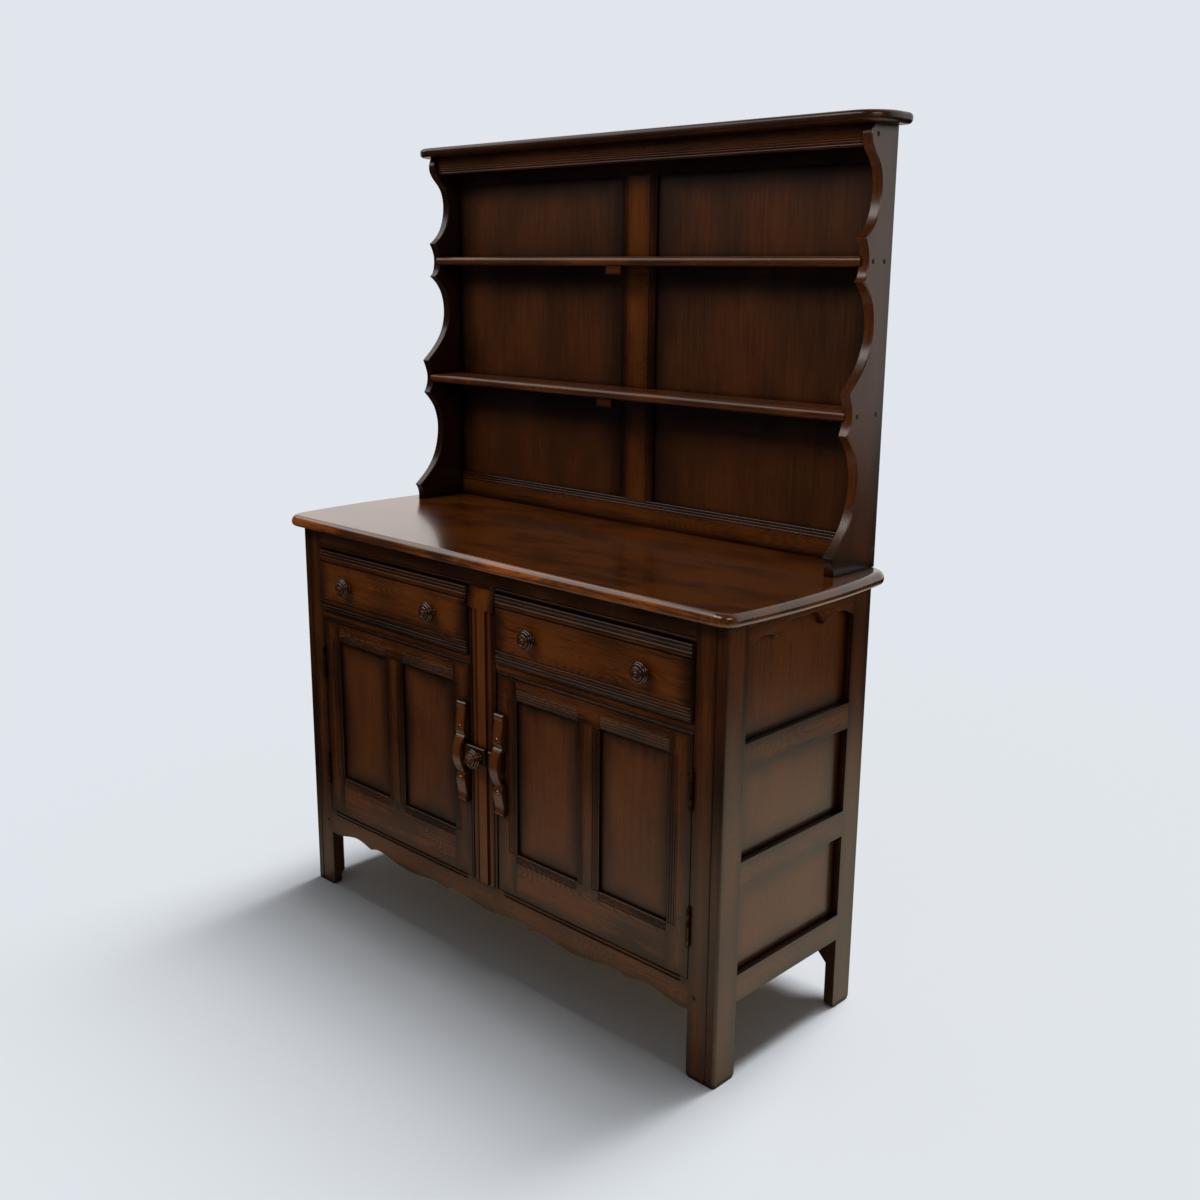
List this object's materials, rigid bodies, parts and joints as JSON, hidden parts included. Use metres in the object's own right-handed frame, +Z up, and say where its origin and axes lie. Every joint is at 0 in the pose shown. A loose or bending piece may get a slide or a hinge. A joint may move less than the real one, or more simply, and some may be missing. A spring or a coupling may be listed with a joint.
{
  "type": "kitchen dresser",
  "caption": "Dark panelled dresser: cupboard base with drawers and panelled doors held by a turned latch, under an open plate rack with scalloped sides.",
  "frame": {"origin": "on the floor under the middle of the whole dresser's box", "axes": "+X to the right as one faces the doors, +Y to the back and +Z up"},
  "size_m": [1.226, 0.4776, 1.6],
  "materials": {
    "elm_frame": "dark stained elm, satin lacquer",
    "elm_panel": "dark stained elm panel, satin lacquer",
    "elm_drawer": "dark stained elm, shaded at the edges, satin lacquer",
    "turned_elm": "dark stained turned and carved elm, satin lacquer",
    "polished_top": "dark stained elm, gloss lacquer",
    "rack_panel": "dark stained veneered panel, satin",
    "back_board": "brown hardboard, bare",
    "inner_pine": "plain softwood, thin varnish",
    "dark_peg": "dark end grain",
    "aged_brass": "aged brass",
    "dark_stud": "bronzed brass, tarnished"
  },
  "bodies": {
    "carcass": {"worktop": "polished_top", "front_stile_left": "elm_frame", "front_stile_right": "elm_frame", "front_top_rail": "elm_frame", "drawer_rails": "elm_frame", "apron": "elm_frame", "centre_stile": "elm_frame", "frame_pegs": "dark_peg", "side_front_leg_left": "elm_frame", "side_front_leg_right": "elm_frame", "side_rear_leg_left": "elm_frame", "side_rear_leg_right": "elm_frame", "side_rails_left": "elm_frame", "side_rails_right": "elm_frame", "side_panels": "elm_panel", "base_back_rails": "elm_frame", "base_back_panel": "back_board", "cupboard_floor": "inner_pine", "cupboard_shelf": "inner_pine", "cupboard_bearers": "inner_pine", "drawer_runners": "inner_pine", "ball_catches": "aged_brass", "hinge_frame_leaves": "aged_brass", "hinge_pins": "aged_brass", "rack_side_left": "elm_frame", "rack_side_right": "elm_frame", "lower_shelf": "elm_frame", "upper_shelf": "elm_frame", "cornice": "polished_top", "frieze": "elm_frame", "rack_back_frame": "elm_frame", "rack_back_muntin": "elm_frame", "rack_back_panels": "rack_panel", "shelf_blocks": "elm_frame", "rack_plugs": "dark_peg", "rack_dowels": "dark_peg"},
    "door_left": {"door_stiles_left": "elm_frame", "door_rails_left": "elm_frame", "door_muntin_left": "elm_frame", "door_panels_left": "elm_panel", "hinge_door_leaves_left": "aged_brass", "handle_left": "turned_elm", "handle_studs_left": "dark_stud", "latch_bar": "turned_elm"},
    "door_right": {"door_stiles_right": "elm_frame", "door_rails_right": "elm_frame", "door_muntin_right": "elm_frame", "door_panels_right": "elm_panel", "hinge_door_leaves_right": "aged_brass", "handle_right": "turned_elm", "handle_studs_right": "dark_stud", "latch_keeper": "turned_elm"},
    "drawer_left": {"drawer_front_left": "elm_drawer", "drawer_box_left": "inner_pine", "drawer_knobs_left": "turned_elm"},
    "drawer_right": {"drawer_front_right": "elm_drawer", "drawer_box_right": "inner_pine", "drawer_knobs_right": "turned_elm"},
    "latch_knob": {"latch_knob": "turned_elm", "latch_tongue": "turned_elm"}
  },
  "joints": [
    {"name": "door_left_hinge", "type": "hinge", "parent": "carcass", "child": "door_left", "pos_m": [-0.513, -0.2017, 0.403], "axis": [0, 0, -1], "range_deg": [0, 110]},
    {"name": "door_right_hinge", "type": "hinge", "parent": "carcass", "child": "door_right", "pos_m": [0.513, -0.2017, 0.403], "axis": [0, 0, 1], "range_deg": [0, 110]},
    {"name": "drawer_left_slide", "type": "slide", "parent": "carcass", "child": "drawer_left", "axis": [0, -1, 0], "range_m": [0, 0.28]},
    {"name": "drawer_right_slide", "type": "slide", "parent": "carcass", "child": "drawer_right", "axis": [0, -1, 0], "range_m": [0, 0.28]},
    {"name": "latch_turn", "type": "hinge", "parent": "door_left", "child": "latch_knob", "pos_m": [0, -0.2125, 0.4465], "axis": [0, -1, 0], "range_deg": [0, 180]}
  ]
}
